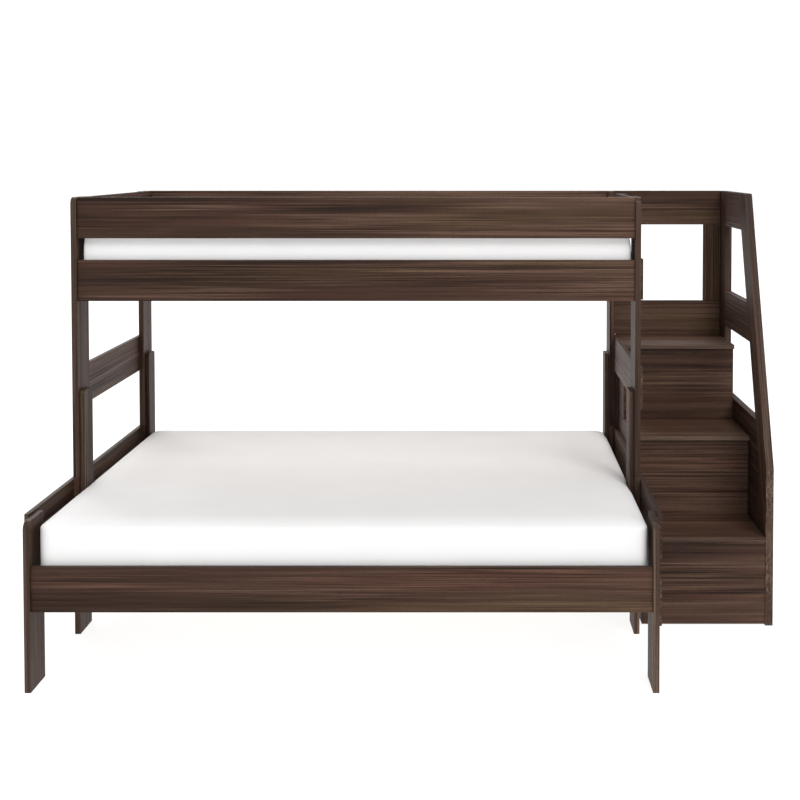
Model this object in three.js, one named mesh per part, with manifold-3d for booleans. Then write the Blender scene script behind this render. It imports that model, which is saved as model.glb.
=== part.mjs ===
// A bunk bed with a staircase: a wide lower bed, a narrower upper bed above its rear half,
// and a three-tread staircase beside the right-hand end. Plain boards, bolted and screwed.
// Millimetres. +X runs from the left end to the staircase, +Y from the front to the rear, +Z up.
// The origin is on the floor, under the middle of the whole object.

import * as THREE from "three";
import { mergeVertices } from "three/addons/utils/BufferGeometryUtils.js";
import Module from "manifold-3d";

// ---------------------------------------------------------------- driving dimensions

const PLAY = 0.15; // every face stands this far inside its nominal place, so bearing faces keep 0.3

const BED_LENGTH = 2102; // over the uprights at the two ends
const LOWER_DEPTH = 1590; // over the front and rear uprights of the lower bed
const UPPER_DEPTH = 1064; // over the front and rear uprights of the upper bed

const BOARD_WIDTH = 152.4; // every rail and guard is cut from the same six-inch board
const UPRIGHT_THICKNESS = 21;
const UPRIGHT_WIDTH = 141;
const SIDE_THICKNESS = 21; // front and rear rails
const END_THICKNESS = 16; // rails and guards at the two ends

const FRONT_LEG_TOP = 572;
const STACK_HEIGHT = 590; // where the upper bed's posts stand on the lower bed's legs
const TOP = 1628; // posts, guards and staircase frame all end here
const FRONT_LEG_RADIUS = 30;
const POST_RADIUS = 26;
const SIDE_SETBACK = 10; // rails stand this far behind the uprights' edges
const END_SETBACK = 60; // end rails stop this far short of the uprights' edges

const LOWER_SIDE_RAIL = 266; // heights of the rails' lower edges
const LOWER_END_RAIL = 202;
const HEADBOARD_RAIL = 429;
const MIDDLE_END_RAIL = 834;
const UPPER_RAIL = 1243;
const GUARD = TOP - BOARD_WIDTH;

const PLATE_THICKNESS = 18; // joint plates that tie the posts to the legs
const PLATE_WIDTH = 96;
const PLATE_BOTTOM = 430;
const PLATE_TOP = 908;
const PLATE_RADIUS = 16;

const ENTRY_WIDTH = 378; // opening in the right-hand end, between the entry stile and the rear post
const ENTRY_STILE_WIDTH = 90;

const SLAT_COUNT = 14;
const SLAT_WIDTH = 68;
const SLAT_THICKNESS = 18;
const SLAT_END_CLEARANCE = 4;
const LOWER_DECK = 330; // top of the slats
const UPPER_DECK = 1310;
const TAPE_WIDTH = 25;
const TAPE_THICKNESS = 1.6;
const TAPE_OVERLAP = 0.3; // how far a tape is let into the slats it is stapled to
const CLEAT_HEIGHT = 35;
const CLEAT_THICKNESS = 25;
const BEAM_WIDTH = 45;
const BEAM_HEIGHT = 70;
const CENTRE_LEG_SIZE = 45;

const MATTRESS_LENGTH = 2020;
const LOWER_MATTRESS = { width: 1510, height: 230 };
const UPPER_MATTRESS = { width: 980, height: 180 };
const MATTRESS_CORNER = 40;
const MATTRESS_EDGE = 22;

const STAIR_WIDTH = 497; // from the left-hand edge of the treads to the outside of the side frame
const STAIR_GAP = 3; // between the bed's end rails and the staircase
const STAIR_FRONT = -180;
const FRAME_THICKNESS = 29; // the staircase's side frame
const FRAME_WIDTH = 124;
const KNEE_HEIGHT = 600; // where the side frame's front edge starts to lean back
const LEAN = 0.413; // rearward run of that edge for each millimetre of height
const FRAME_RADIUS = 18;
const STEP_COUNT = 3;
const FIRST_TREAD = 337;
const RISE = 322;
const GOING = 317;
const TREAD_THICKNESS = 18;
const RISER_THICKNESS = 16;
const PANEL_THICKNESS = 18;
const NOSING = 24;
const FIRST_NOSING = 2;
const FLOOR_GAP = 5; // under the risers and panels
const SIDE_PANEL_TOP = 748;
const MIDDLE_SIDE_RAIL = 1036;
const BACK_STILE_WIDTH = 76;

// ---------------------------------------------------------------- places worked out from them

const TOTAL_LENGTH = BED_LENGTH + 2 * END_THICKNESS + STAIR_GAP + STAIR_WIDTH;
const BED_CENTRE = (BED_LENGTH + 2 * END_THICKNESS - TOTAL_LENGTH) / 2;
const STAIR_LEFT = TOTAL_LENGTH / 2 - STAIR_WIDTH;
const FRONT = -LOWER_DEPTH / 2;
const REAR = LOWER_DEPTH / 2;
const UPPER_FRONT = REAR - UPPER_DEPTH;
const OUTSIDE = BED_LENGTH / 2; // outer faces of the uprights, from the bed's centre
const INSIDE = OUTSIDE - UPRIGHT_THICKNESS;
const ENDS = [
  ["left", -1],
  ["right", 1],
];

// ---------------------------------------------------------------- materials

const STAINED_WOOD = new THREE.MeshStandardMaterial({
  color: 0x46352e,
  roughness: 0.55,
  metalness: 0,
});
const SLAT_WOOD = new THREE.MeshStandardMaterial({
  color: 0xc9a878,
  roughness: 0.7,
  metalness: 0,
});
const MATTRESS_COVER = new THREE.MeshStandardMaterial({
  color: 0xf1f0ee,
  roughness: 0.9,
  metalness: 0,
});

// ---------------------------------------------------------------- shapes

// Two numbers, in either order, brought in by the play at both ends. A face on the floor stays on it.
function between(a, b) {
  const low = Math.min(a, b);
  const high = Math.max(a, b);
  return [low === 0 ? 0 : low + PLAY, high - PLAY];
}

// A board with square edges that fills the space between two x, two y and two z.
function board(name, xs, ys, zs, material = STAINED_WOOD) {
  const [x, y, z] = [between(...xs), between(...ys), between(...zs)];
  const geometry = new THREE.BoxGeometry(x[1] - x[0], y[1] - y[0], z[1] - z[0]);
  const mesh = new THREE.Mesh(geometry, material);
  mesh.name = name;
  mesh.position.set((x[0] + x[1]) / 2, (y[0] + y[1]) / 2, (z[0] + z[1]) / 2);
  return mesh;
}

// A board sawn to an outline in the Y-Z plane, with its faces between two x.
function sawn(name, xs, outline) {
  const [low, high] = between(...xs);
  const geometry = new THREE.ExtrudeGeometry(outline, {
    depth: high - low,
    bevelEnabled: false,
  });
  const mesh = new THREE.Mesh(geometry, STAINED_WOOD);
  mesh.name = name;
  mesh.rotation.set(Math.PI / 2, 0, Math.PI / 2, "ZYX"); // the outline's x and y become Y and Z
  mesh.position.x = low;
  return mesh;
}

// An outline through [y, z] corners, counterclockwise. A third number rounds that corner to a radius.
function outlineOf(corners) {
  const shape = new THREE.Shape();
  corners.forEach(([y, z, radius = 0], i) => {
    const corner = new THREE.Vector2(y, z);
    const [yBefore, zBefore] = corners.at(i - 1);
    const [yAfter, zAfter] = corners[(i + 1) % corners.length];
    const back = new THREE.Vector2(yBefore, zBefore).sub(corner).normalize();
    const on = new THREE.Vector2(yAfter, zAfter).sub(corner).normalize();
    const half = back.angleTo(on) / 2;
    const start = corner.clone().addScaledVector(back, radius / Math.tan(half));
    if (i === 0) shape.moveTo(start.x, start.y);
    else shape.lineTo(start.x, start.y);
    if (radius === 0) return;
    const inward = back.clone().add(on).normalize();
    const centre = corner.clone().addScaledVector(inward, radius / Math.sin(half));
    const from = start.clone().sub(centre).angle();
    shape.absarc(centre.x, centre.y, radius, from, from + Math.PI - 2 * half, false);
  });
  shape.closePath();
  return shape;
}

// A rectangle in the Y-Z plane. Radii go front bottom, rear bottom, rear top, front top.
function rectangle(ys, zs, [r0, r1, r2, r3]) {
  const [front, rear] = between(...ys);
  const [bottom, top] = between(...zs);
  return outlineOf([
    [front, bottom, r0],
    [rear, bottom, r1],
    [rear, top, r2],
    [front, top, r3],
  ]);
}

// From the outside of an end to the inside, or the other way: a place on the bed's left or right half.
function endSpan(side, from, to) {
  return [side * from, side * to];
}

// ---------------------------------------------------------------- lower bed

function lowerLegs() {
  const legs = [];
  const rows = [
    ["front", FRONT, FRONT_LEG_TOP, FRONT_LEG_RADIUS],
    ["middle", UPPER_FRONT, STACK_HEIGHT, 0],
    ["rear", REAR - UPRIGHT_WIDTH, STACK_HEIGHT, 0],
  ];
  for (const [row, front, top, radius] of rows) {
    for (const [end, side] of ENDS) {
      const outline = rectangle([front, front + UPRIGHT_WIDTH], [0, top], [0, 0, 0, radius]);
      legs.push(sawn(`${row}_leg_${end}`, endSpan(side, INSIDE, OUTSIDE), outline));
    }
  }
  return legs;
}

function endRails() {
  const low = [FRONT + END_SETBACK, REAR - END_SETBACK];
  const high = [UPPER_FRONT + END_SETBACK, REAR - END_SETBACK];
  const rows = [
    ["lower_end_rail", low, LOWER_END_RAIL],
    ["headboard_rail", low, HEADBOARD_RAIL],
    ["middle_end_rail", high, MIDDLE_END_RAIL],
    ["upper_end_rail", high, UPPER_RAIL],
  ];
  return rows.flatMap(([row, ys, bottom]) =>
    ENDS.map(([end, side]) =>
      board(
        `${row}_${end}`,
        endSpan(side, OUTSIDE, OUTSIDE + END_THICKNESS),
        ys,
        [bottom, bottom + BOARD_WIDTH],
      ),
    ),
  );
}

// Front and rear boards between the uprights. Each bed has a rail at both, and the upper bed a guard too.
function sideRails() {
  const rows = [
    ["lower_side_rail_front", FRONT + SIDE_SETBACK, LOWER_SIDE_RAIL],
    ["lower_side_rail_rear", REAR - SIDE_SETBACK - SIDE_THICKNESS, LOWER_SIDE_RAIL],
    ["upper_side_rail_front", UPPER_FRONT + SIDE_SETBACK, UPPER_RAIL],
    ["upper_side_rail_rear", REAR - SIDE_SETBACK - SIDE_THICKNESS, UPPER_RAIL],
    ["guard_front", UPPER_FRONT + SIDE_SETBACK, GUARD],
    ["guard_rear", REAR - SIDE_SETBACK - SIDE_THICKNESS, GUARD],
  ];
  return rows.map(([name, front, bottom]) =>
    board(name, [-INSIDE, INSIDE], [front, front + SIDE_THICKNESS], [bottom, bottom + BOARD_WIDTH]),
  );
}

// Strips screwed along the inner faces of the side rails, which carry the slats' ends.
function cleats() {
  const rows = [
    ["lower", FRONT, LOWER_DECK],
    ["upper", UPPER_FRONT, UPPER_DECK],
  ];
  return rows.flatMap(([bed, front, deck]) => {
    const top = deck - SLAT_THICKNESS;
    const inFront = front + SIDE_SETBACK + SIDE_THICKNESS;
    const behind = REAR - SIDE_SETBACK - SIDE_THICKNESS;
    const xs = [-INSIDE, INSIDE];
    const zs = [top - CLEAT_HEIGHT, top];
    return [
      board(`${bed}_cleat_front`, xs, [inFront, inFront + CLEAT_THICKNESS], zs),
      board(`${bed}_cleat_rear`, xs, [behind - CLEAT_THICKNESS, behind], zs),
    ];
  });
}

// The beam that carries the middle of the lower slats, on legs of its own.
function centreSupport() {
  const top = LOWER_DECK - SLAT_THICKNESS;
  const bottom = top - BEAM_HEIGHT;
  const across = [-BEAM_WIDTH / 2, BEAM_WIDTH / 2];
  const legs = ENDS.map(([end, side]) => {
    const middle = (side * BED_LENGTH) / 6;
    const xs = [middle - CENTRE_LEG_SIZE / 2, middle + CENTRE_LEG_SIZE / 2];
    return board(`centre_leg_${end}`, xs, across, [0, bottom], SLAT_WOOD);
  });
  return [board("centre_beam", [-OUTSIDE, OUTSIDE], across, [bottom, top], SLAT_WOOD), ...legs];
}

// ---------------------------------------------------------------- upper bed

function posts() {
  const rows = [
    ["front", UPPER_FRONT, [0, 0, 0, POST_RADIUS]],
    ["rear", REAR - UPRIGHT_WIDTH, [0, 0, POST_RADIUS, 0]],
  ];
  return rows.flatMap(([row, front, radii]) =>
    ENDS.map(([end, side]) => {
      const outline = rectangle([front, front + UPRIGHT_WIDTH], [STACK_HEIGHT, TOP], radii);
      return sawn(`${row}_post_${end}`, endSpan(side, INSIDE, OUTSIDE), outline);
    }),
  );
}

// A short board over each joint between a post and the leg under it, on the inside.
function jointPlates() {
  const inset = (UPRIGHT_WIDTH - PLATE_WIDTH) / 2;
  const rows = [
    ["front", UPPER_FRONT + inset],
    ["rear", REAR - UPRIGHT_WIDTH + inset],
  ];
  return rows.flatMap(([row, front]) =>
    ENDS.map(([end, side]) => {
      const outline = rectangle(
        [front, front + PLATE_WIDTH],
        [PLATE_BOTTOM, PLATE_TOP],
        Array(4).fill(PLATE_RADIUS),
      );
      return sawn(`joint_plate_${row}_${end}`, endSpan(side, INSIDE - PLATE_THICKNESS, INSIDE), outline);
    }),
  );
}

// Guards across the ends, on the posts' inner faces. The right-hand one stops at the entry stile.
function endGuards() {
  const front = UPPER_FRONT + SIDE_SETBACK + SIDE_THICKNESS;
  const rear = REAR - SIDE_SETBACK - SIDE_THICKNESS;
  const entryFront = REAR - UPRIGHT_WIDTH - ENTRY_WIDTH;
  const zs = [GUARD, TOP];
  const stile = rectangle(
    [entryFront - ENTRY_STILE_WIDTH, entryFront],
    [UPPER_RAIL, TOP],
    [0, 0, POST_RADIUS, 0],
  );
  return [
    board("end_guard_left", endSpan(-1, INSIDE - END_THICKNESS, INSIDE), [front, rear], zs),
    board("end_guard_right", endSpan(1, INSIDE - END_THICKNESS, INSIDE), [front, entryFront], zs),
    sawn("entry_stile", endSpan(1, INSIDE, OUTSIDE), stile),
  ];
}

// ---------------------------------------------------------------- bedding

let manifold; // the solid modeller, loaded once

async function loadManifold() {
  manifold = await Module();
  manifold.setup();
}

// A mesh's geometry, where the mesh stands, as a solid that can be joined.
function solidOf(mesh) {
  mesh.updateMatrix();
  const bare = mesh.geometry.clone().applyMatrix4(mesh.matrix);
  bare.deleteAttribute("normal");
  bare.deleteAttribute("uv");
  const merged = mergeVertices(bare, 1e-4);
  return new manifold.Manifold(
    new manifold.Mesh({
      numProp: 3,
      vertProperties: merged.attributes.position.array,
      triVerts: new Uint32Array(merged.index.array),
    }),
  );
}

// Several meshes joined into one, with the first one's name and material.
function joined(meshes) {
  const solid = meshes.map(solidOf).reduce((sum, next) => sum.add(next));
  const { vertProperties, triVerts } = solid.getMesh();
  const geometry = new THREE.BufferGeometry();
  geometry.setAttribute("position", new THREE.BufferAttribute(vertProperties, 3));
  geometry.setIndex(new THREE.BufferAttribute(triVerts, 1));
  geometry.computeVertexNormals();
  const mesh = new THREE.Mesh(geometry, meshes[0].material);
  mesh.name = meshes[0].name;
  return mesh;
}

// Slats across the bed, held at their spacing by two tapes stapled under them.
function slatRoll(name, front, deck) {
  const reach = INSIDE - PLATE_THICKNESS - SLAT_END_CLEARANCE;
  const pitch = (2 * reach - SLAT_WIDTH) / (SLAT_COUNT - 1);
  const inset = SIDE_SETBACK + SIDE_THICKNESS + SLAT_END_CLEARANCE;
  const ys = [front + inset, REAR - inset];
  const slats = Array.from({ length: SLAT_COUNT }, (_, i) => {
    const low = -reach + i * pitch;
    return board(name, [low, low + SLAT_WIDTH], ys, [deck - SLAT_THICKNESS, deck], SLAT_WOOD);
  });
  const middle = (front + REAR) / 2;
  const offset = (REAR - front) / 4;
  const slatBottom = deck - SLAT_THICKNESS + PLAY;
  const tapes = [middle - offset, middle + offset].map((y) =>
    board(
      name,
      [-reach, reach],
      [y - TAPE_WIDTH / 2, y + TAPE_WIDTH / 2],
      [slatBottom - TAPE_THICKNESS, slatBottom + TAPE_OVERLAP + PLAY],
      SLAT_WOOD,
    ),
  );
  return joined([...slats, ...tapes]);
}

// A mattress with rounded corners in plan and eased top and bottom edges.
function mattress(name, { width, height }, front, deck) {
  const x = MATTRESS_LENGTH / 2 - MATTRESS_EDGE;
  const y = width / 2 - MATTRESS_EDGE;
  const r = MATTRESS_CORNER - MATTRESS_EDGE;
  const plan = outlineOf([
    [-x, -y, r],
    [x, -y, r],
    [x, y, r],
    [-x, y, r],
  ]);
  const geometry = new THREE.ExtrudeGeometry(plan, {
    depth: height - 2 * MATTRESS_EDGE - 2 * PLAY,
    bevelThickness: MATTRESS_EDGE,
    bevelSize: MATTRESS_EDGE,
    bevelSegments: 3,
    curveSegments: 4,
  });
  const mesh = new THREE.Mesh(geometry, MATTRESS_COVER);
  mesh.name = name;
  mesh.position.set(0, (front + REAR) / 2, deck + MATTRESS_EDGE + PLAY);
  return mesh;
}

function bedding() {
  return [
    slatRoll("lower_slat_roll", FRONT, LOWER_DECK),
    slatRoll("upper_slat_roll", UPPER_FRONT, UPPER_DECK),
    mattress("lower_mattress", LOWER_MATTRESS, FRONT, LOWER_DECK),
    mattress("upper_mattress", UPPER_MATTRESS, UPPER_FRONT, UPPER_DECK),
  ];
}

// ---------------------------------------------------------------- staircase
// Its own x runs from the left-hand edge of the treads.

const FRAME_INSIDE = STAIR_WIDTH - FRAME_THICKNESS;
const RISER_FRONT = STAIR_FRONT + FIRST_NOSING;
const STAIR_REAR = RISER_FRONT + STEP_COUNT * GOING;
const STEPS_ACROSS = [0, FRAME_INSIDE];
const BACK_ACROSS = [-END_THICKNESS - STAIR_GAP, FRAME_INSIDE]; // from the bed's rear post
const TREAD_TOPS = Array.from({ length: STEP_COUNT }, (_, i) => FIRST_TREAD + i * RISE);
const RISER_FRONTS = Array.from({ length: STEP_COUNT }, (_, i) => RISER_FRONT + i * GOING);

function treadsAndRisers() {
  return TREAD_TOPS.flatMap((top, i) => {
    const front = RISER_FRONTS[i];
    const nosing = i === 0 ? FIRST_NOSING : NOSING;
    const bottom = i === 0 ? FLOOR_GAP : TREAD_TOPS[i - 1];
    const under = top - TREAD_THICKNESS;
    const behind = front + GOING + RISER_THICKNESS;
    return [
      board(`riser_${i + 1}`, STEPS_ACROSS, [front, front + RISER_THICKNESS], [bottom, under]),
      board(`tread_${i + 1}`, STEPS_ACROSS, [front - nosing, behind], [under, top]),
    ];
  });
}

// Side panels sawn to the steps' outline, behind the risers and under the treads.
function stepPanels() {
  const corners = [
    [STAIR_REAR - PLAY, FLOOR_GAP],
    [STAIR_REAR - PLAY, TREAD_TOPS.at(-1) - TREAD_THICKNESS - PLAY],
  ];
  for (let i = STEP_COUNT - 1; i >= 0; i -= 1) {
    const front = RISER_FRONTS[i] + RISER_THICKNESS + PLAY;
    corners.push([front, TREAD_TOPS[i] - TREAD_THICKNESS - PLAY]);
    corners.push([front, i === 0 ? FLOOR_GAP : TREAD_TOPS[i - 1] - TREAD_THICKNESS - PLAY]);
  }
  return [
    sawn("step_panel_left", [0, PANEL_THICKNESS], outlineOf(corners)),
    sawn("step_panel_right", [FRAME_INSIDE - PANEL_THICKNESS, FRAME_INSIDE], outlineOf(corners)),
  ];
}

function stairBack() {
  const ys = [STAIR_REAR, STAIR_REAR + RISER_THICKNESS];
  const topTread = TREAD_TOPS.at(-1);
  const lowRailTop = topTread + BOARD_WIDTH;
  return [
    board("stair_back_panel", BACK_ACROSS, ys, [FLOOR_GAP, topTread - TREAD_THICKNESS]),
    board("stair_back_low_rail", BACK_ACROSS, ys, [topTread, lowRailTop]),
    board("stair_back_stile", [FRAME_INSIDE - BACK_STILE_WIDTH, FRAME_INSIDE], ys, [lowRailTop, GUARD]),
    board("stair_back_top_rail", BACK_ACROSS, ys, [GUARD, TOP]),
  ];
}

// The block that the staircase's left side is screwed to, on the outside of the bed's rear leg.
function fixingBlock() {
  const ys = [REAR - UPRIGHT_WIDTH, STAIR_REAR];
  const zs = [HEADBOARD_RAIL + BOARD_WIDTH, MIDDLE_END_RAIL];
  return board("stair_fixing_block", [-END_THICKNESS - STAIR_GAP, 0], ys, zs);
}

const FRAME_SPAN = [FRAME_INSIDE, STAIR_WIDTH];
const SLANT_WIDTH = FRAME_WIDTH * Math.hypot(1, LEAN); // the leaning stile, measured level
const POST_FRONT = REAR - UPRIGHT_WIDTH;

const REAR_KNEE = KNEE_HEIGHT - (SLANT_WIDTH - FRAME_WIDTH) / LEAN;

// Where the rear edge of the leaning front stile is at a height.
function stileRear(z) {
  const leaning = STAIR_FRONT + SLANT_WIDTH + LEAN * (z - KNEE_HEIGHT);
  return Math.max(STAIR_FRONT + FRAME_WIDTH, leaning);
}

function frontStile() {
  const outline = outlineOf([
    [STAIR_FRONT + PLAY, 0],
    [STAIR_FRONT + FRAME_WIDTH - PLAY, 0],
    [STAIR_FRONT + FRAME_WIDTH - PLAY, REAR_KNEE],
    [stileRear(TOP) - PLAY, TOP - PLAY],
    [stileRear(TOP) - SLANT_WIDTH + PLAY, TOP - PLAY, FRAME_RADIUS],
    [STAIR_FRONT + PLAY, KNEE_HEIGHT],
  ]);
  return sawn("stair_front_stile", FRAME_SPAN, outline);
}

// A board between the leaning stile and the rear post, with its front end sawn to the stile.
function infill(name, bottom, top) {
  const outline = outlineOf([
    [stileRear(bottom) + PLAY, bottom + PLAY],
    [POST_FRONT - PLAY, bottom + PLAY],
    [POST_FRONT - PLAY, top - PLAY],
    [stileRear(top) + PLAY, top - PLAY],
  ]);
  return sawn(name, FRAME_SPAN, outline);
}

function lowerSidePanel() {
  const outline = outlineOf([
    [stileRear(0) + PLAY, FLOOR_GAP],
    [POST_FRONT - PLAY, FLOOR_GAP],
    [POST_FRONT - PLAY, SIDE_PANEL_TOP - PLAY],
    [stileRear(SIDE_PANEL_TOP) + PLAY, SIDE_PANEL_TOP - PLAY],
    [stileRear(0) + PLAY, REAR_KNEE],
  ]);
  return sawn("stair_side_panel", FRAME_SPAN, outline);
}

function sideFrame() {
  const rear = rectangle([POST_FRONT, REAR], [0, TOP], [0, 0, POST_RADIUS, 0]);
  return [
    frontStile(),
    sawn("stair_rear_post", FRAME_SPAN, rear),
    infill("stair_side_top_rail", GUARD, TOP),
    infill("stair_side_middle_rail", MIDDLE_SIDE_RAIL, MIDDLE_SIDE_RAIL + BOARD_WIDTH),
    lowerSidePanel(),
  ];
}

// ---------------------------------------------------------------- the whole object

function group(x, meshes) {
  const made = new THREE.Group();
  made.position.x = x;
  made.add(...meshes);
  return made;
}

await loadManifold();
const bunkBed = new THREE.Group();
bunkBed.add(
  group(BED_CENTRE, [...lowerLegs(), ...endRails(), ...sideRails(), ...cleats(), ...centreSupport()]),
  group(BED_CENTRE, [...posts(), ...jointPlates(), ...endGuards()]),
  group(BED_CENTRE, bedding()),
  group(STAIR_LEFT, [...treadsAndRisers(), ...stepPanels(), ...stairBack(), fixingBlock()]),
  group(STAIR_LEFT, sideFrame()),
);

export default bunkBed;
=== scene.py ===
"""A stained wooden bunk bed with a staircase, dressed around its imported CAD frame. Metres, +Z up.

The CAD boards keep their shape and get eased edges and a solid, grained wood of their own.
The mattresses, slats and slat tapes are modelled here and stand for the plain CAD solids.
"""

import math
import random
from collections import namedtuple

import bmesh
import bpy
from mathutils import Matrix, Vector, noise


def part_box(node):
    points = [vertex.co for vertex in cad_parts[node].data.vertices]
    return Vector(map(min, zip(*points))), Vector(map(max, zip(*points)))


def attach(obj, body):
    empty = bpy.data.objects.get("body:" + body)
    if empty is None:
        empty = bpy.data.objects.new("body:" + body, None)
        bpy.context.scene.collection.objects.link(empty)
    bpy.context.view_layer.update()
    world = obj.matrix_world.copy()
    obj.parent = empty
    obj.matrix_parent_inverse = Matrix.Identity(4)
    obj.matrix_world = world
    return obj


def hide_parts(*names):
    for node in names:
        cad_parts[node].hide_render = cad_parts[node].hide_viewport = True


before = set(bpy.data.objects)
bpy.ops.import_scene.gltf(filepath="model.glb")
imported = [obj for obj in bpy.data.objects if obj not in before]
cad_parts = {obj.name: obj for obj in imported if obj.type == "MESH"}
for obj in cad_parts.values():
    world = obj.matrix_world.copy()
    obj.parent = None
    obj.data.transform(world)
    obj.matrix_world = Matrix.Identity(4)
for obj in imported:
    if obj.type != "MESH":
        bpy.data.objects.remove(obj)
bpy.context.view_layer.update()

SEED = 11
CAMERA_PLACE = (0.2063, -4.9556, 1.7598)
CAMERA_LENS = 57.353
CAMERA_TILT = math.radians(2)  # downwards, which keeps the shift smaller
CAMERA_SHIFT = (-0.0998, -0.2427)

# ---------------------------------------------------------------- the studio

FLOOR_HALF = 30.0
FLOOR_COLOUR = (0.30, 0.30, 0.30, 1)
FLOOR_ROUGHNESS = 0.9
WHITE = (1, 1, 1, 1)
FLOOR_GLOW = 0.87  # a lit white floor, so that shadows on it stay faint
BACKDROP = 1.05
SKY_AT_HORIZON = 0.72
SKY_AT_ZENITH = 0.74
SKY_AT_LEFT = 0.45  # how much of the light is left at each side of the studio
SKY_AT_RIGHT = 0.78
LIGHTS = {  # direction towards the light, strength, and angular size in degrees
    "key": ((0.35, -1.0, 1.02), 1.75, 34),
    "back": ((-0.35, 1.0, 0.95), 1.6, 40),
}


def make_camera():
    data = bpy.data.cameras.new("camera")
    data.lens = CAMERA_LENS
    data.shift_x, data.shift_y = CAMERA_SHIFT
    camera = bpy.data.objects.new("camera", data)
    camera.location = CAMERA_PLACE
    camera.rotation_euler = (math.pi / 2 - CAMERA_TILT, 0, 0)
    bpy.context.scene.collection.objects.link(camera)
    bpy.context.scene.camera = camera


def make_sky():
    """A white studio, lit most from front and rear and least from the left, on a white backdrop."""
    world = bpy.data.worlds.new("studio")
    bpy.context.scene.world = world
    world.use_nodes = True
    tree = world.node_tree
    background = tree.nodes["Background"]
    direction = add(tree, "TexCoord").outputs["Generated"]
    parts = add(tree, "SeparateXYZ", {"Vector": direction}).outputs
    light = remap(tree, parts["Z"], (0.0, 1.0), (SKY_AT_HORIZON, SKY_AT_ZENITH))
    for end, share in ((-1.0, SKY_AT_LEFT), (1.0, SKY_AT_RIGHT)):
        side = remap(tree, parts["X"], (0.0, end), (1.0, share))
        light = math_node(tree, "MULTIPLY", light, side)
    seen = add(tree, "LightPath").outputs["Is Camera Ray"]
    strength = add(tree, "Mix", {0: seen, 2: light, 3: BACKDROP}, data_type="FLOAT").outputs[0]
    tree.links.new(strength, background.inputs["Strength"])
    background.inputs["Color"].default_value = WHITE


def make_lights():
    for name, (direction, strength, size) in LIGHTS.items():
        data = bpy.data.lights.new(name, "SUN")
        data.energy = strength
        data.angle = math.radians(size)
        light = bpy.data.objects.new(name, data)
        light.rotation_euler = Vector(direction).to_track_quat("Z", "Y").to_euler()
        bpy.context.scene.collection.objects.link(light)


def make_floor():
    mesh = bpy.data.meshes.new("studio_floor")
    corners = [(-1, -1), (1, -1), (1, 1), (-1, 1)]
    mesh.from_pydata([(x * FLOOR_HALF, y * FLOOR_HALF, 0) for x, y in corners], [], [(0, 1, 2, 3)])
    floor = bpy.data.objects.new("studio_floor", mesh)
    bpy.context.scene.collection.objects.link(floor)
    material, tree, shader = new_material("studio_floor")
    shader.inputs["Base Color"].default_value = FLOOR_COLOUR
    shader.inputs["Roughness"].default_value = FLOOR_ROUGHNESS
    shader.inputs["Specular IOR Level"].default_value = 0.0
    shader.inputs["Emission Color"].default_value = WHITE
    shader.inputs["Emission Strength"].default_value = FLOOR_GLOW
    mesh.materials.append(material)


# ---------------------------------------------------------------- shader helpers


def add(tree, kind, values=None, **settings):
    """A shader node, with its settings and with each input set to a value or joined to a socket."""
    node = tree.nodes.new("ShaderNode" + kind)
    for setting, value in settings.items():
        setattr(node, setting, value)
    for socket, value in (values or {}).items():
        if isinstance(value, bpy.types.NodeSocket):
            tree.links.new(value, node.inputs[socket])
        else:
            node.inputs[socket].default_value = value
    return node


def new_material(name):
    material = bpy.data.materials.new(name)
    material.use_nodes = True
    tree = material.node_tree
    return material, tree, tree.nodes["Principled BSDF"]


def remap(tree, value, source, target, smooth=False):
    values = {"Value": value, "From Min": source[0], "From Max": source[1]}
    values.update({"To Min": target[0], "To Max": target[1]})
    kind = "SMOOTHSTEP" if smooth else "LINEAR"
    return add(tree, "MapRange", values, interpolation_type=kind).outputs["Result"]


def math_node(tree, operation, *values):
    return add(tree, "Math", dict(enumerate(values)), operation=operation).outputs[0]


def blend_colours(tree, factor, first, second, blend_type="MIX"):
    values = {0: factor, 6: first, 7: second}
    return add(tree, "Mix", values, data_type="RGBA", blend_type=blend_type).outputs[2]


def ramp(tree, value, stops):
    node = add(tree, "ValToRGB", {"Fac": value})
    elements = node.color_ramp.elements
    while len(elements) < len(stops):
        elements.new(0.5)
    for element, (position, colour) in zip(elements, stops):
        element.position = position
        element.color = (*colour, 1)
    return node.outputs["Color"]


def add_bump(tree, shader, height, strength, distance):
    bump = {"Height": height, "Strength": strength, "Distance": distance}
    tree.links.new(add(tree, "Bump", bump).outputs["Normal"], shader.inputs["Normal"])


def grain_noise(tree, coords, along, across, detail=2.0, roughness=0.5, distortion=0.0):
    """Noise drawn out along the grain: features are about 1/along by 1/across metres."""
    scaled = add(
        tree, "VectorMath", {0: coords, 1: (along, across, across)}, operation="MULTIPLY"
    ).outputs["Vector"]
    values = {"Vector": scaled, "Scale": 1.0, "Detail": detail}
    values.update({"Roughness": roughness, "Distortion": distortion})
    return add(tree, "TexNoise", values).outputs["Fac"]


# ---------------------------------------------------------------- stained wood

GRAIN_TURNS = {  # the turn that brings each grain direction onto the texture's x
    "X": (0, 0, 0),
    "Y": (0, 0, -math.pi / 2),
    "Z": (0, math.pi / 2, 0),
}
AXES = "XYZ"
STILE_LEAN = math.atan(0.413)  # of the leaning stile
LEANING_STILE = "stair_front_stile"
SHIFT_REACH = 9  # metres of wood to choose each board's piece from
GRAIN_OVERRIDES = {"step_panel_left": "Y", "step_panel_right": "Y", "stair_side_panel": "Y"}

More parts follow.
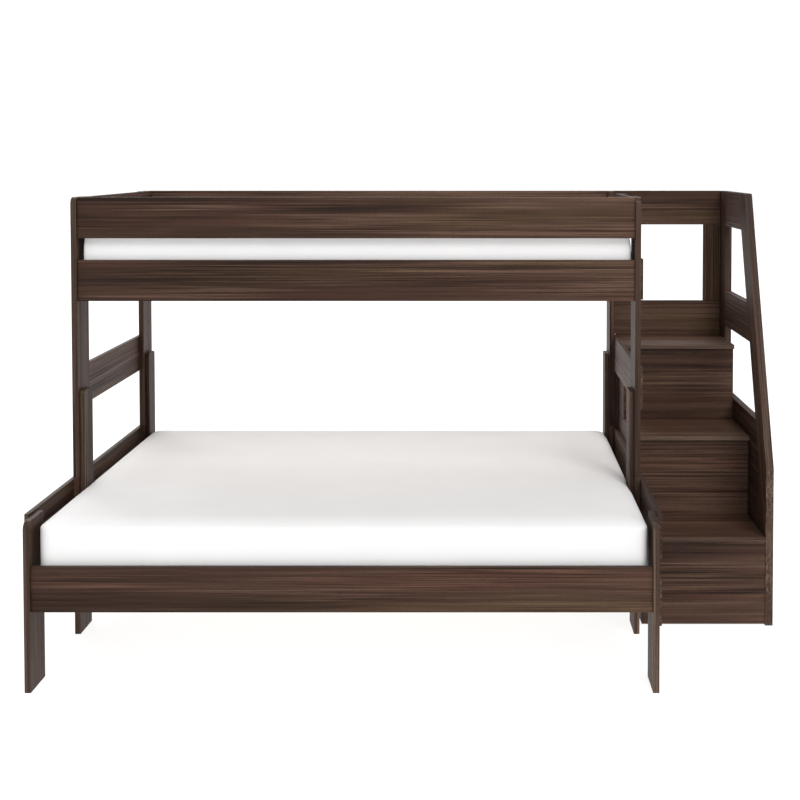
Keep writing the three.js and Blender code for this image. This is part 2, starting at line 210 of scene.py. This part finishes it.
STAIN_DARK = (0.014, 0.0062, 0.0036)
STAIN_DEEP = (0.036, 0.0172, 0.0106)
STAIN_MIDDLE = (0.060, 0.0305, 0.0200)
STAIN_LIGHT = (0.120, 0.0690, 0.0470)
STAIN_RED = (1.14, 0.89, 0.88, 1)
STAIN_OLIVE = (0.97, 1.06, 0.84, 1)
RED_SHARE = 0.5
OLIVE_SHARE = 0.8
PORE_SHARE = 0.8
EDGE_TINT = (1.16, 1.34, 1.46, 1)  # edges take the stain thinner and greyer than faces
PORE_TINT = (0.45, 0.42, 0.40, 1)
TONE_WEIGHTS = {"drift": 0.9, "broad": 1.1, "streaks": 1.9, "lines": 2.4, "rings": 0.12}
FINE_LAYERS = ("streaks", "lines")  # these come and go along a board
PAINTED_SHEEN_RAMP = 0.16  # painted sheen: how much lighter the long boards are painted with each metre to the right, standing in for light reflected from the right
PAINTED_SHEEN_MIDDLE = 0.1
LIFT_REACH = 0.04  # how far boards differ from each other in tone
STAIN_SPECULAR = 0.15
BOARD_STAIN_AND_LIGHT_LIFTS = {  # boards painted lighter or darker than the rest: partly real differences in stain, partly painted light and shade, as on the rear guard and tread 2
    "guard_front": -0.04,
    "guard_rear": 0.08,
    "upper_side_rail_front": 0.10,
    "riser_1": -0.10,
    "riser_2": -0.07,
    "tread_2": 0.10,
    "front_leg_left": -0.08,
    "front_leg_right": -0.16,
    "stair_back_top_rail": -0.10,
    "stair_back_low_rail": 0.20,
    "stair_side_top_rail": 0.10,
}


def board_axes(name):
    """The axes of a board's grain and of its broad faces, from its box."""
    low, high = (Vector(corner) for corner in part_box(name))
    size = high - low
    order = sorted(range(3), key=lambda axis: size[axis])
    grain = GRAIN_OVERRIDES.get(name, AXES[order[2]])
    return grain, AXES[order[0]]


def grain_coords(tree, name, grain, place, rng):
    """Coordinates with the grain along x, shifted so that no two boards match."""
    shift = [rng.uniform(-SHIFT_REACH, SHIFT_REACH) for _ in AXES]
    vector = place.outputs["Object"]
    if name == LEANING_STILE:
        upright = {"Vector": vector, "Rotation": (STILE_LEAN, 0, 0)}
        vector = add(tree, "Mapping", upright).outputs["Vector"]
        grain = "Z"
    turned = {"Vector": vector, "Rotation": GRAIN_TURNS[grain], "Location": shift}
    return add(tree, "Mapping", turned).outputs["Vector"]


def tone_layers(tree, coords, rng):
    """The layers of light and dark that add up to the grain."""
    return {
        "drift": grain_noise(tree, coords, 0.45, 3.0, detail=1.0),
        "broad": grain_noise(tree, coords, 0.8, 17, detail=3.0, roughness=0.5, distortion=0.2),
        "streaks": grain_noise(tree, coords, 1.1, 120, detail=3.0, roughness=0.6),
        "lines": grain_noise(tree, coords, 1.7, 420, detail=3.0, roughness=0.65),
        "rings": figure(tree, coords, rng),
    }


def stain_and_light_tone(tree, name, grain, coords, place, layers, rng):
    """How dark the stain is at each place, with the painted sheen and the per-board painted light
    and shade added in, from near 0 to near 1.
    """
    presence = grain_noise(tree, coords, 1.2, 14, detail=1.0)
    presence = remap(tree, presence, (0.36, 0.62), (0.25, 1.2), smooth=True)
    # a per-board lift: partly real stain, partly painted light and shade
    tone = 0.5 + rng.uniform(-LIFT_REACH, LIFT_REACH) + BOARD_STAIN_AND_LIGHT_LIFTS.get(name, 0)
    # painted sheen: boards running along x are painted lighter towards the right
    if grain == "X":
        along = add(tree, "SeparateXYZ", {"Vector": place.outputs["Object"]}).outputs["X"]
        tone = math_node(tree, "MULTIPLY_ADD", along, PAINTED_SHEEN_RAMP, tone - PAINTED_SHEEN_RAMP * PAINTED_SHEEN_MIDDLE)
    for layer, weight in TONE_WEIGHTS.items():
        centred = math_node(tree, "SUBTRACT", layers[layer], 0.5)
        if layer in FINE_LAYERS:
            centred = math_node(tree, "MULTIPLY", centred, presence)
        tone = math_node(tree, "MULTIPLY_ADD", centred, weight, tone)
    return tone


def stain_and_light_colour(tree, tone, coords, pore, edge):
    """The stain's colour, over a tone that carries painted sheen and shade: patches of red and
    olive, dark pores, and thinner stain on edges.
    """
    stops = [(0.0, STAIN_DARK), (0.3, STAIN_DEEP), (0.58, STAIN_MIDDLE), (1.0, STAIN_LIGHT)]
    colour = ramp(tree, tone, stops)
    hue = grain_noise(tree, coords, 0.9, 15, detail=2.0, roughness=0.5)
    tints = [
        (remap(tree, hue, (0.52, 0.70), (0.0, RED_SHARE), smooth=True), STAIN_RED),
        (remap(tree, hue, (0.48, 0.30), (0.0, OLIVE_SHARE), smooth=True), STAIN_OLIVE),
        (math_node(tree, "MULTIPLY", pore, PORE_SHARE), PORE_TINT),
        (edge, EDGE_TINT),
    ]
    for share, tint in tints:
        colour = blend_colours(tree, share, colour, tint, "MULTIPLY")
    return colour


def stained_wood_with_painted_light(name, rng):
    """A solid stained wood for one board, its tone carrying a painted sheen and per-board painted
    light and shade.
    """
    grain, face = board_axes(name)
    material, tree, shader = new_material(f"stained_wood_with_painted_light_{name}")
    place = add(tree, "TexCoord")
    coords = grain_coords(tree, name, grain, place, rng)
    layers = tone_layers(tree, coords, rng)
    fibres = grain_noise(tree, coords, 16, 1100, detail=2.0, roughness=0.6)
    pores = grain_noise(tree, coords, 46, 1500, detail=1.0)
    pore = remap(tree, pores, (0.40, 0.30), (0.0, 1.0), smooth=True)
    tone = stain_and_light_tone(tree, name, grain, coords, place, layers, rng)
    edge = edge_mask(tree, place.outputs["Normal"], face)
    colour = stain_and_light_colour(tree, tone, coords, pore, edge)
    tree.links.new(colour, shader.inputs["Base Color"])
    gloss = remap(tree, layers["streaks"], (0.3, 0.7), (0.60, 0.48))
    tree.links.new(gloss, shader.inputs["Roughness"])
    shader.inputs["Specular IOR Level"].default_value = STAIN_SPECULAR
    height = math_node(tree, "MULTIPLY_ADD", fibres, 0.5, math_node(tree, "MULTIPLY", pore, -0.6))
    add_bump(tree, shader, height, 0.55, 0.0004)
    return material


def figure(tree, coords, rng):
    """Growth rings round a pith that runs just off the grain, cut into arches along the board."""
    tilt = (0, rng.uniform(-0.02, 0.02), rng.uniform(-0.02, 0.02))
    tilted = add(tree, "Mapping", {"Vector": coords, "Rotation": tilt}).outputs["Vector"]
    squeezed = add(tree, "VectorMath", {0: tilted, 1: (0.35, 1, 1)}, operation="MULTIPLY")
    values = {"Vector": squeezed.outputs["Vector"], "Scale": 20, "Distortion": 7.0}
    values.update({"Detail": 2.0, "Detail Scale": 0.25, "Detail Roughness": 0.5})
    wave = add(tree, "TexWave", values, wave_type="RINGS", rings_direction="X")
    return wave.outputs["Fac"]


def edge_mask(tree, normal, face):
    """Near 1 on a board's narrow edges and ends, and 0 on its broad faces."""
    across = add(tree, "SeparateXYZ", {"Vector": normal}).outputs[face]
    facing = math_node(tree, "ABSOLUTE", across)
    return remap(tree, facing, (0.85, 0.35), (0.0, 1.0), smooth=True)


ARRIS = 0.0022  # radius of the eased edges
ARRIS_SEGMENTS = 3
WELD_DISTANCE = 0.00001
SHARP_ANGLE = math.radians(30)


def ease_edges(board):
    """Rounds a board's arrises with modifiers, which leave the CAD mesh as it is."""
    mesh = board.data
    if "custom_normal" in mesh.attributes:
        mesh.attributes.remove(mesh.attributes["custom_normal"])
    mesh.shade_smooth()
    weld = board.modifiers.new("weld", "WELD")
    weld.merge_threshold = WELD_DISTANCE
    bevel = board.modifiers.new("eased_edges", "BEVEL")
    bevel.width = ARRIS
    bevel.segments = ARRIS_SEGMENTS
    bevel.limit_method = "ANGLE"
    bevel.angle_limit = SHARP_ANGLE
    bevel.harden_normals = True


def dress_boards():
    rng = random.Random(SEED)
    for name in sorted(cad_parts):
        if "mattress" in name or "slat_roll" in name:
            continue
        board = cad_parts[name]
        board.data.materials.clear()
        wood = pale_wood if name.startswith("centre_") else stained_wood_with_painted_light
        board.data.materials.append(wood(name, rng))
        ease_edges(board)


# ---------------------------------------------------------------- pale wood

PINE_LIGHT = (0.62, 0.43, 0.245)
PINE_DARK = (0.44, 0.265, 0.125)
PINE_KNOT = (0.16, 0.07, 0.03, 1)


def pale_wood(name, rng, grain=None):
    """Planed softwood with ring lines and a few small knots."""
    material, tree, shader = new_material(f"slat_wood_{name}")
    grain = grain or board_axes(name)[0]
    place = add(tree, "TexCoord").outputs["Object"]
    shift = [rng.uniform(-9, 9) for _ in AXES]
    turned = {"Vector": place, "Rotation": GRAIN_TURNS[grain], "Location": shift}
    coords = add(tree, "Mapping", turned).outputs["Vector"]
    squeezed = add(tree, "VectorMath", {0: coords, 1: (0.2, 1, 1)}, operation="MULTIPLY")
    values = {"Vector": squeezed.outputs["Vector"], "Scale": 48, "Distortion": 7.0}
    values.update({"Detail": 2.0, "Detail Scale": 0.4, "Detail Roughness": 0.5})
    rings = add(tree, "TexWave", values, wave_type="RINGS", rings_direction="X").outputs["Fac"]
    fibres = grain_noise(tree, coords, 9, 500, detail=2.0)
    tone = math_node(tree, "MULTIPLY_ADD", fibres, 0.5, math_node(tree, "MULTIPLY", rings, 0.6))
    colour = ramp(tree, tone, [(0.1, PINE_LIGHT), (0.95, PINE_DARK)])
    stretched = add(tree, "VectorMath", {0: coords, 1: (3.2, 8, 8)}, operation="MULTIPLY")
    cells = add(tree, "TexVoronoi", {"Vector": stretched.outputs["Vector"], "Scale": 1.0})
    knot = remap(tree, cells.outputs["Distance"], (0.11, 0.05), (0.0, 0.85), smooth=True)
    colour = blend_colours(tree, knot, colour, PINE_KNOT)
    tree.links.new(colour, shader.inputs["Base Color"])
    tree.links.new(remap(tree, fibres, (0.3, 0.7), (0.62, 0.75)), shader.inputs["Roughness"])
    add_bump(tree, shader, tone, 0.4, 0.0003)
    return material


# ---------------------------------------------------------------- slats, tapes and staples

SLAT_COUNT = 14
SLAT_WIDTH = 0.068
TAPE_WIDTH = 0.025
TAPE_THICKNESS = 0.0014
TAPE_STEPS = 8  # along each gap between slats
TAPE_SAG = 0.0035
SLAT_SKEW = 0.0012  # how far a slat lies from its true place
SLAT_ARRIS = 0.002
STAPLE_PLACES = (0.3, 0.7)  # across a slat's width
STAPLE_WIRE = 0.0012
STAPLE_SPAN = 0.011


def new_object(name, mesh, *materials):
    for material in materials:
        mesh.materials.append(material)
    made = bpy.data.objects.new(name, mesh)
    bpy.context.scene.collection.objects.link(made)
    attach(made, "root")
    return made


def add_box(bm, low, high):
    """Adds a box to a mesh being built and returns its vertices."""
    middle = (Vector(low) + Vector(high)) / 2
    size = Vector(high) - Vector(low)
    matrix = Matrix.Translation(middle) @ Matrix.Diagonal((*size, 1))
    return bmesh.ops.create_cube(bm, size=1, matrix=matrix)["verts"]


def mesh_of(bm, name):
    mesh = bpy.data.meshes.new(name)
    bmesh.ops.recalc_face_normals(bm, faces=bm.faces[:])
    bm.to_mesh(mesh)
    bm.free()
    return mesh


def slat_places(low, high):
    pitch = (high.x - low.x - SLAT_WIDTH) / (SLAT_COUNT - 1)
    return [low.x + i * pitch for i in range(SLAT_COUNT)]


def make_slat_roll(node, rng):
    """One bed's slats, their two tapes and the staples, in place of a plain CAD slat roll."""
    low, high = (Vector(corner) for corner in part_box(node))
    bed = node.split("_")[0]
    slat_bottom = low.z + TAPE_THICKNESS
    slats = bmesh.new()
    for x in slat_places(low, high):
        skew = rng.uniform(-SLAT_SKEW, SLAT_SKEW)
        left = x + skew
        add_box(slats, (left, low.y, slat_bottom), (left + SLAT_WIDTH, high.y, high.z))
    bmesh.ops.bevel(slats, geom=slats.edges[:], offset=SLAT_ARRIS, segments=2, affect="EDGES")
    wood = pale_wood(f"{bed}_slats", rng, grain="Y")
    slat_piece = new_object(f"{bed}_slats", mesh_of(slats, f"{bed}_slats"), wood)
    slat_piece.data.shade_smooth()
    harden(slat_piece)

    middle = (low.y + high.y) / 2
    offset = (high.y - low.y) / 4
    tapes = bmesh.new()
    staples = bmesh.new()
    for y in (middle - offset, middle + offset):
        add_tape(tapes, low, high, y, slat_bottom)
        add_staples(staples, low, high, y, slat_bottom - TAPE_THICKNESS)
    tape_name, staple_name = f"{bed}_slat_tapes", f"{bed}_staples"
    tape_piece = new_object(tape_name, mesh_of(tapes, tape_name), TAPE_MATERIAL)
    staple_piece = new_object(staple_name, mesh_of(staples, staple_name), STEEL_MATERIAL)
    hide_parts(node)


def add_tape(bm, low, high, y, top):
    """A woven tape under the slats, sagging a little between them."""
    places = slat_places(low, high)
    line = []
    for i, x in enumerate(places):
        line += [(x, 0.0), (x + SLAT_WIDTH, 0.0)]
        if i + 1 < SLAT_COUNT:
            gap = places[i + 1] - x - SLAT_WIDTH
            shares = [k / TAPE_STEPS for k in range(1, TAPE_STEPS)]
            line += [(x + SLAT_WIDTH + gap * s, TAPE_SAG * math.sin(math.pi * s)) for s in shares]
    rows = []
    for x, sag in line:
        corners = [(y - TAPE_WIDTH / 2, top - sag), (y + TAPE_WIDTH / 2, top - sag)]
        corners += [(cy, cz - TAPE_THICKNESS) for cy, cz in reversed(corners)]
        rows.append([bm.verts.new((x, cy, cz)) for cy, cz in corners])
    for before, after in zip(rows, rows[1:]):
        for k in range(4):
            bm.faces.new((before[k], before[(k + 1) % 4], after[(k + 1) % 4], after[k]))
    bm.faces.new(rows[0])
    bm.faces.new(rows[-1])


def add_staples(bm, low, high, y, top):
    """Two wire staples through the tape into each slat."""
    for x in slat_places(low, high):
        for offset in STAPLE_PLACES:
            middle = x + SLAT_WIDTH * offset
            start = (middle - STAPLE_WIRE / 2, y - STAPLE_SPAN / 2, top - STAPLE_WIRE)
            end = (middle + STAPLE_WIRE / 2, y + STAPLE_SPAN / 2, top)
            add_box(bm, start, end)


def harden(piece):
    """Keeps flat faces flat beside their rounded edges."""
    piece.modifiers.new("flat_faces", "WEIGHTED_NORMAL").keep_sharp = False


def woven_tape():
    material, tree, shader = new_material("slat_tape")
    coords = add(tree, "TexCoord").outputs["Object"]
    weft = add(tree, "TexWave", {"Vector": coords, "Scale": 160}, bands_direction="X")
    warp = add(tree, "TexWave", {"Vector": coords, "Scale": 110}, bands_direction="Y")
    weave = math_node(tree, "MULTIPLY", weft.outputs["Fac"], warp.outputs["Fac"])
    colour = ramp(tree, weave, [(0.0, (0.50, 0.48, 0.44)), (0.8, (0.74, 0.72, 0.67))])
    tree.links.new(colour, shader.inputs["Base Color"])
    shader.inputs["Roughness"].default_value = 0.85
    add_bump(tree, shader, weave, 0.5, 0.0003)
    return material


def bright_steel():
    material, tree, shader = new_material("bright_steel")
    coords = add(tree, "TexCoord").outputs["Object"]
    mottle = add(tree, "TexNoise", {"Vector": coords, "Scale": 900.0}).outputs["Fac"]
    tree.links.new(remap(tree, mottle, (0.3, 0.7), (0.28, 0.42)), shader.inputs["Roughness"])
    shader.inputs["Base Color"].default_value = (0.56, 0.55, 0.53, 1)
    shader.inputs["Metallic"].default_value = 1.0
    return material


# ---------------------------------------------------------------- mattresses

# How far a mattress outgrows its CAD solid, its corner radius in plan, how far in and how far
# down its top and its bottom roll over to the sides, and how much lighter its cover is painted,
# a painted light that lifts the cover out of the shade it lies in.
Shape = namedtuple("Shape", "grown corner top_roll bottom_roll whiteness")
LOWER_SHAPE = Shape((0.014, 0.004, 0.0), 0.040, (0.074, 0.027), (0.024, 0.014), 0.0)
# painted light: the upper cover is painted lighter, standing in for light in the shade between the
# rails
UPPER_SHAPE = Shape((0.015, 0.004, 0.0), 0.012, (0.026, 0.010), (0.020, 0.010), 0.065)
ROLL_POWER = 1.5
EDGE_STEPS = (0.0, 0.0015, 0.004, 0.009, 0.016, 0.026, 0.040, 0.056, 0.074)
MATTRESS_GRID = 0.028
SWELL_LIMIT = 0.004
SIM_FRAMES = 16
REST_CLEARANCE = 0.0008
CROWN = 0.002
RIPPLE = 0.0011
SIDE_BAND = 0.97  # beyond this share of the half length or width, a point is on a side
PRESS_REACH = 0.030  # how far a mattress is held in beside a board that stands against it
PRESS_CLEARANCE = 0.002
KNIT = {"Distortion": 0.6}
KNIT_SCALES = {"X": 125, "Y": 95, "Z": 95}
COVER_SHADE = (0.805, 0.800, 0.800)
COVER_WHITE = (0.845, 0.840, 0.840)


def stations(half, edge_steps=()):
    """Grid places from -half to half: even in the middle, and closer together towards the edges."""
    inner = half - max(edge_steps, default=0)
    count = max(2, round(2 * inner / MATTRESS_GRID))
    places = [-inner + 2 * inner * i / count for i in range(1, count)]
    ends = [half - step for step in edge_steps or (0.0,)]
    return sorted([*places, *ends, *(-end for end in ends)])


def roll_down(inset, roll):
    """How far a mattress's top or bottom has rolled over at a distance in from its side."""
    reach, drop = roll
    share = max(0.0, 1 - inset / reach)
    return drop * (1 - math.sqrt(max(0.0, 1 - share**ROLL_POWER)))


def in_plan(x, y, half, corner):
    """A place in the plan brought inside the rounded corners, and how far in from the side it is."""
    dx = abs(x) - (half[0] - corner)
    dy = abs(y) - (half[1] - corner)
    if dx <= 0 or dy <= 0:
        return x, y, corner - max(dx, dy)
    share = max(dx, dy) / math.hypot(dx, dy)
    round_x = math.copysign(half[0] - corner + dx * share, x)
    round_y = math.copysign(half[1] - corner + dy * share, y)
    return round_x, round_y, corner - max(dx, dy)


def on_mattress(point, half, shape):
    """Moves a point on a block's surface onto the mattress that the block stands for."""
    x, y, inset = in_plan(point.x, point.y, half, shape.corner)
    if point.z >= half[2]:
        return Vector((x, y, half[2] - roll_down(inset, shape.top_roll)))
    if point.z <= -half[2]:
        return Vector((x, y, roll_down(inset, shape.bottom_roll) - half[2]))
    low, high = shape.bottom_roll[1] - half[2], half[2] - shape.top_roll[1]
    share = (point.z + half[2]) / (2 * half[2])
    return Vector((x, y, low + share * (high - low)))


def block_mesh(name, half, shape):
    """A closed, gridded mattress shape centred on the origin."""
    grid = [stations(half[0], EDGE_STEPS), stations(half[1], EDGE_STEPS), stations(half[2])]
    counts = [len(places) for places in grid]
    bm = bmesh.new()
    verts = {}

    def vert(*index):
        if index not in verts:
            point = Vector([grid[axis][i] for axis, i in enumerate(index)])
            verts[index] = bm.verts.new(on_mattress(point, half, shape))
        return verts[index]

    for axis in range(3):
        u, v = [other for other in range(3) if other != axis]
        for end in (0, counts[axis] - 1):
            for i in range(counts[u] - 1):
                for j in range(counts[v] - 1):
                    corners = []
                    for a, b in ((i, j), (i + 1, j), (i + 1, j + 1), (i, j + 1)):
                        index = [0, 0, 0]
                        index[axis], index[u], index[v] = end, a, b
                        corners.append(vert(*index))
                    bm.faces.new(corners)
    return mesh_of(bm, name)


def swell(piece):
    """Lets the cover bulge under the foam's pressure, as cloth, by no more than the limit."""
    rest = [vert.co.copy() for vert in piece.data.vertices]
    cloth = piece.modifiers.new("cover", "CLOTH")
    settings = cloth.settings
    settings.quality = 5
    settings.mass = 0.35
    settings.tension_stiffness = 30
    settings.compression_stiffness = 30
    settings.bending_stiffness = 4
    settings.use_pressure = True
    settings.uniform_pressure_force = 4
    settings.effector_weights.gravity = 0
    scene = bpy.context.scene
    for number in range(1, SIM_FRAMES + 1):
        scene.frame_set(number)
    shown = piece.evaluated_get(bpy.context.evaluated_depsgraph_get())
    moved = [vert.co.copy() for vert in shown.data.vertices]
    piece.modifiers.remove(cloth)
    scene.frame_set(1)
    for vert, before, after in zip(piece.data.vertices, rest, moved):
        step = after - before
        if step.length > SWELL_LIMIT:
            step *= SWELL_LIMIT / step.length
        vert.co = before + step


def soft_unevenness(piece, half, shape, rng):
    """A slight crown, and the gentle unevenness of a cover over foam."""
    shift = Vector([rng.uniform(-50, 50) for _ in AXES])
    for vert in piece.data.vertices:
        co = vert.co
        share_x = min(1.0, abs(co.x) / half[0])
        share_y = min(1.0, abs(co.y) / half[1])
        ripple = noise.fractal(co * 3.1 + shift, 0.6, 2.2, 3)
        if co.z > half[2] - shape.top_roll[1] / 2:
            co.z += CROWN * (1 - share_x**4) * (1 - share_y**4) + RIPPLE * ripple
        elif co.z > shape.bottom_roll[1] - half[2]:
            out_x = co.x if share_x > SIDE_BAND else 0
            out_y = co.y if share_y > SIDE_BAND else 0
            outward = Vector((out_x, out_y, 0))
            belly = 1 - (co.z / half[2]) ** 2
            vert.co = co + outward.normalized() * RIPPLE * ripple * belly


def make_mattress(node, shape, rng):
    """A foam mattress in a knitted cover."""
    low, high = (Vector(corner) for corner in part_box(node))
    middle = (low + high) / 2
    half = (high - low) / 2 + Vector(shape.grown) - Vector((SWELL_LIMIT, SWELL_LIMIT, CROWN)) / 2
    cover = knitted_cover(node, shape.whiteness)
    piece = new_object(node + "_cover", block_mesh(node + "_cover", half, shape), cover)
    swell(piece)
    soft_unevenness(piece, half, shape, rng)
    floor_z = low.z - middle.z + REST_CLEARANCE
    for vert in piece.data.vertices:
        vert.co.z = max(vert.co.z, floor_z)
        vert.co += middle
    piece.data.shade_smooth()
    smooth = piece.modifiers.new("smooth", "SUBSURF")
    smooth.levels = 1
    smooth.render_levels = 1
    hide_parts(node)
    return piece


def press_in(piece, middle_x, nodes):
    """Presses a mattress's ends in where boards stand against them."""
    for node in nodes:
        low, high = (Vector(corner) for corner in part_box(node))
        side = math.copysign(1, low.x - middle_x)
        limit = (low.x if side > 0 else high.x) - side * PRESS_CLEARANCE
        for vert in piece.data.vertices:
            over = (vert.co.x - limit) * side
            if over <= 0:
                continue
            beside = max(low.y - vert.co.y, vert.co.y - high.y, 0.0)
            over_or_under = max(low.z - vert.co.z, vert.co.z - high.z, 0.0)
            away = math.hypot(beside, over_or_under)
            if away < PRESS_REACH:
                vert.co.x -= side * over * (0.5 + 0.5 * math.cos(math.pi * away / PRESS_REACH))


def knitted_cover(name, whiteness):
    """A fine white knit, its loops a couple of millimetres across, painted lighter by its painted
    light lift.
    """
    material, tree, shader = new_material(f"knitted_cover_{name}")
    coords = add(tree, "TexCoord").outputs["Object"]
    wales, courses, rows = (
        add(tree, "TexWave", {"Vector": coords, **KNIT, "Scale": scale}, bands_direction=axis)
        for axis, scale in KNIT_SCALES.items()
    )
    knit = math_node(tree, "MULTIPLY", wales.outputs["Fac"], courses.outputs["Fac"])
    knit = math_node(tree, "MULTIPLY_ADD", rows.outputs["Fac"], 0.4, knit)
    fuzz = add(tree, "TexNoise", {"Vector": coords, "Scale": 420.0, "Detail": 3.0}).outputs["Fac"]
    cloudy = add(tree, "TexNoise", {"Vector": coords, "Scale": 5.0, "Detail": 2.0}).outputs["Fac"]
    shade = math_node(tree, "MULTIPLY_ADD", fuzz, 0.35, math_node(tree, "MULTIPLY", cloudy, 0.65))
    stops = [(0.25, COVER_SHADE), (0.75, COVER_WHITE)]
    # painted light: both colours of the knit are lifted by the painted light lift
    stops = [(place, [part + whiteness for part in tint]) for place, tint in stops]
    colour = ramp(tree, shade, stops)
    tree.links.new(colour, shader.inputs["Base Color"])
    shader.inputs["Roughness"].default_value = 0.92
    shader.inputs["Specular IOR Level"].default_value = 0.15
    shader.inputs["Sheen Weight"].default_value = 0.12
    shader.inputs["Sheen Roughness"].default_value = 0.6
    height = math_node(tree, "MULTIPLY_ADD", fuzz, 0.5, knit)
    add_bump(tree, shader, height, 0.35, 0.0003)
    return material


# ---------------------------------------------------------------- the scene


make_camera()
make_sky()
make_lights()
make_floor()
TAPE_MATERIAL = woven_tape()
STEEL_MATERIAL = bright_steel()
dress_boards()

bedding_rng = random.Random(SEED + 1)
make_slat_roll("lower_slat_roll", bedding_rng)
make_slat_roll("upper_slat_roll", bedding_rng)
lower_mattress = make_mattress("lower_mattress", LOWER_SHAPE, bedding_rng)
upper_mattress = make_mattress("upper_mattress", UPPER_SHAPE, bedding_rng)
bed_middle = sum(corner[0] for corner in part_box("lower_mattress")) / 2
plates = [name for name in sorted(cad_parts) if name.startswith("joint_plate")]
end_boards = [
    name for name in sorted(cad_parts) if name.startswith(("end_guard", "upper_end_rail"))
]
press_in(lower_mattress, bed_middle, plates)
press_in(upper_mattress, bed_middle, end_boards)

bpy.context.scene.view_settings.view_transform = "Standard"
